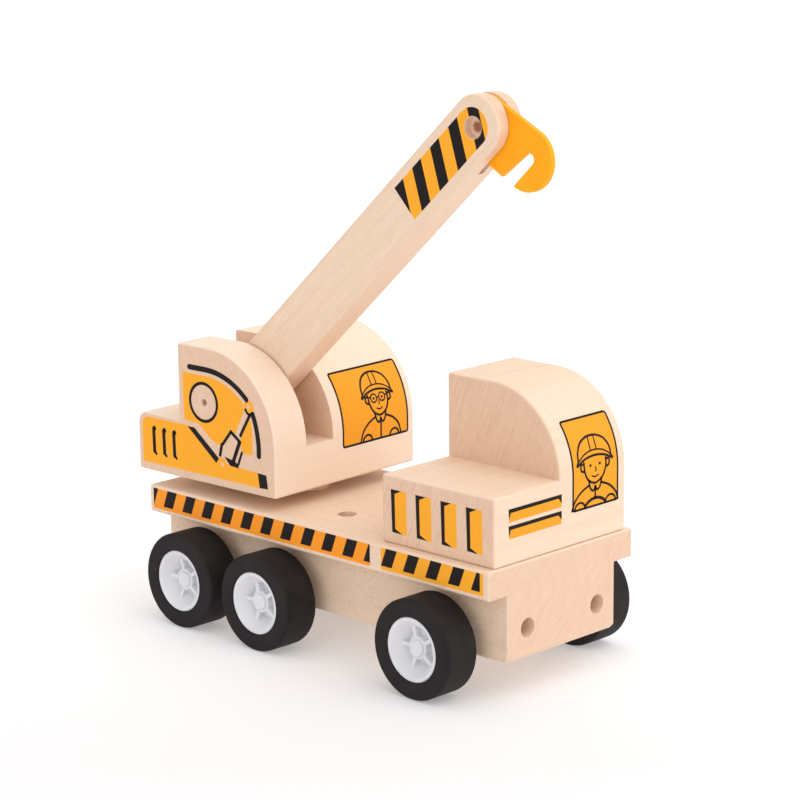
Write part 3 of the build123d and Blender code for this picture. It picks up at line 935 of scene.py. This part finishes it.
def print_turret_black(side, face):
    """The dark lines: a roof arc, a pillar, a bracing bar, the ram, three louvres and a bumper."""
    black = Ink()
    black.line([(-24.0, 40.5)] + arc(ROOF_CENTRE, ROOF_RADIUS, 90, 48, 20), 1.95)
    black.line(circle(dowel_place, RING_RADIUS), RING_WIDTH, closed=True)
    black.fill([(-25.6, 18.9), (-11.5, 7.8), (-10.1, 9.7), (-22.2, 18.9)])
    black.line(curve([(7.1, 28.0), (8.4, 24.4), (9.3, 20.4), (9.7, 17.0), (9.7, 13.7)]), 2.1)
    black.line(curve([(3.6, 29.2), (4.6, 28.0), (5.8, 27.7), (7.0, 28.3)]), 1.05)
    black.line([(5.6, 27.4), (0.9, 19.6)], 1.25)
    black.line([(-3.8, 20.2), (0.6, 17.2)], 1.3)
    black.line([(-3.8, 20.2), (-8.0, 15.2)], 1.15)
    black.line([(-8.5, 14.9), (-9.5, 11.0)], 1.3)
    black.line([(0.4, 17.2), (-3.0, 9.6)], 1.6)
    black.line([(1.4, 13.6), (-0.6, 8.9)], 1.0)
    black.fill([(-7.3, 10.8), (-5.6, 9.0), (-4.6, 8.0), (-0.3, 7.7), (-0.9, 9.3), (-3.8, 10.2)])
    black.fill([(9.0, 7.6), (9.8, 2.4), (13.8, 2.6), (13.1, 7.4)])
    for start in TAIL_LOUVRES:
        black.line([(start, 15.2), (start + 0.2, 7.0)], 1.6)
        black.line([(start + 0.2, 7.0), (start + 1.1, 6.2)], 1.1)
        black.fill(circle((start + 0.35, 15.4), 0.95, 20))
    black.lay(f"print_turret_lines_{side}", face, "turret", block_black, BLACK_TOP)


for side, face in turret_sides:
    print_turret_yellow(side, face)
    print_turret_black(side, face)


# ---------------------------------------------------------------- floor, light and camera
def make_floor():
    """A plain pale floor that glows unevenly as painted light: more under the crane, which lifts its shadow
    there, and less towards the front, which paints that floor greyer.
    """
    half_size = 4.0
    to_front = (0.7, -0.714, 0.0)
    # painted light: the floor glows more under the crane to lift its shadow, and less towards the front
    painted_light_under, painted_light_front = 0.31, 0.18
    glow_fades_by = 0.14
    bm = bmesh.new()
    bmesh.ops.create_grid(bm, x_segments=8, y_segments=8, size=half_size)
    mesh = bpy.data.meshes.new("floor")
    bm.to_mesh(mesh)
    bm.free()
    floor = bpy.data.objects.new("floor", mesh)
    bpy.context.scene.collection.objects.link(floor)
    material, tree, shader = new_material("floor_paper")
    shader.inputs["Base Color"].default_value = (0.72, 0.71, 0.715, 1)
    shader.inputs["Roughness"].default_value = 0.9
    shader.inputs["Specular IOR Level"].default_value = 0.1
    shader.inputs["Emission Color"].default_value = (1.0, 0.985, 0.98, 1)
    place = node(tree, "TexCoord").outputs["Object"]
    toward = node(tree, "VectorMath", {0: place, 1: to_front}, operation="DOT_PRODUCT")
    painted_glow = ramp(tree, toward.outputs["Value"], 0.0, glow_fades_by, painted_light_under, painted_light_front)
    tree.links.new(painted_glow, shader.inputs["Emission Strength"])
    mesh.materials.append(material)


def make_world(level, lean):
    """A white studio all round, brighter the way that lean points."""
    world = bpy.data.worlds.new("studio")
    world.use_nodes = True
    tree = world.node_tree
    background = tree.nodes["Background"]
    background.inputs["Color"].default_value = (1.0, 0.995, 0.99, 1)
    direction = node(tree, "TexCoord").outputs["Generated"]
    along = node(tree, "VectorMath", {0: direction, 1: lean}, operation="DOT_PRODUCT").outputs["Value"]
    brightness = math_node(tree, "MAXIMUM", math_node(tree, "ADD", along, level), 0.05)
    tree.links.new(brightness, background.inputs["Strength"])
    bpy.context.scene.world = world


def make_softbox(name, direction, distance, size, power):
    """A large square light that looks at the crane's middle."""
    target = (cad_low + cad_high) / 2
    data = bpy.data.lights.new(name, "AREA")
    data.shape = "SQUARE"
    data.size = size
    data.energy = power
    light = bpy.data.objects.new(name, data)
    bpy.context.scene.collection.objects.link(light)
    direction = Vector(direction).normalized()
    light.location = target + direction * distance
    light.rotation_mode = "QUATERNION"
    light.rotation_quaternion = (-direction).to_track_quat("-Z", "Y")


def make_camera(azimuth, elevation, roll, distance, target, lens):
    """A camera on a sphere round a point, with azimuth 0 looking along +Y."""
    data = bpy.data.cameras.new("camera")
    data.lens = lens
    data.sensor_width = 36
    data.clip_start = 0.05
    data.clip_end = 20
    camera = bpy.data.objects.new("camera", data)
    bpy.context.scene.collection.objects.link(camera)
    a, e = math.radians(azimuth), math.radians(elevation)
    back = Vector((math.sin(a) * math.cos(e), -math.cos(a) * math.cos(e), math.sin(e)))
    look = (-back).to_track_quat("-Z", "Y").to_matrix().to_4x4()
    turn = Matrix.Rotation(math.radians(roll), 4, "Z")
    camera.matrix_world = Matrix.Translation(Vector(target) * MM + back * distance * MM) @ look @ turn
    bpy.context.scene.camera = camera


make_floor()
make_world(level=0.82, lean=(0.35, 0.30, 0.37))
make_softbox("key", direction=(1.0, 0.25, 1.4), distance=1.6, size=0.9, power=2.4)
make_softbox("low_fill", direction=(0.15, -1.0, 0.28), distance=1.3, size=1.0, power=2.1)
make_camera(
    azimuth=44.424,
    elevation=13.028,
    roll=-0.600,
    distance=925.867,
    target=(chassis_middle.x / MM + 4.581, 4.39, 83.332),
    lens=121.25,
)
bpy.context.scene.view_settings.view_transform = "Standard"

bpy.context.view_layer.update()
